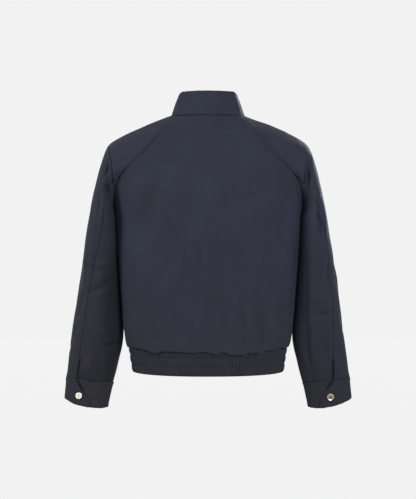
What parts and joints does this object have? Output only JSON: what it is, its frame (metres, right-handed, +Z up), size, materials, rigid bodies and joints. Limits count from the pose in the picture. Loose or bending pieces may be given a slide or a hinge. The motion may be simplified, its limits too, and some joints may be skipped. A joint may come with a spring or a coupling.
{
  "type": "bomber jacket",
  "caption": "Raglan blouson jacket with a stand collar, front zip, gathered elastic waistband and snapped cuffs, filled out with no wearer",
  "frame": {"origin": "the middle of the neck opening at the level of the collar seam, where the wearer's neck and shoulders hold the jacket", "axes": "+Z up along the wearer's spine, +Y out of the jacket's back, +X towards the wearer's left sleeve"},
  "size_m": [0.7082, 0.2531, 0.7715],
  "materials": {
    "navy_shell_cloth": "matt closely woven cloth",
    "zip_tape_and_chain": "dark woven tape with a dark chain",
    "snap_metal": "polished nickel",
    "slider_metal": "satin"
  },
  "bodies": {
    "jacket": {"back": "navy_shell_cloth", "front_left": "navy_shell_cloth", "front_right": "navy_shell_cloth", "oversleeve_left": "navy_shell_cloth", "oversleeve_right": "navy_shell_cloth", "undersleeve_left": "navy_shell_cloth", "undersleeve_right": "navy_shell_cloth", "collar": "navy_shell_cloth", "waistband": "navy_shell_cloth", "cuff_left": "navy_shell_cloth", "cuff_right": "navy_shell_cloth", "cuff_snap_left": "snap_metal", "cuff_snap_right": "snap_metal", "zip_left": "zip_tape_and_chain", "zip_right": "zip_tape_and_chain", "zip_slider": "slider_metal"},
    "zip_pull": {"zip_pull": "slider_metal"}
  },
  "joints": [
    {"name": "zip_pull_swing", "type": "hinge", "parent": "jacket", "child": "zip_pull", "pos_m": [0, -0.07244, -0.01997], "axis": [-1, 0, 0], "range_deg": [0, 170]}
  ]
}
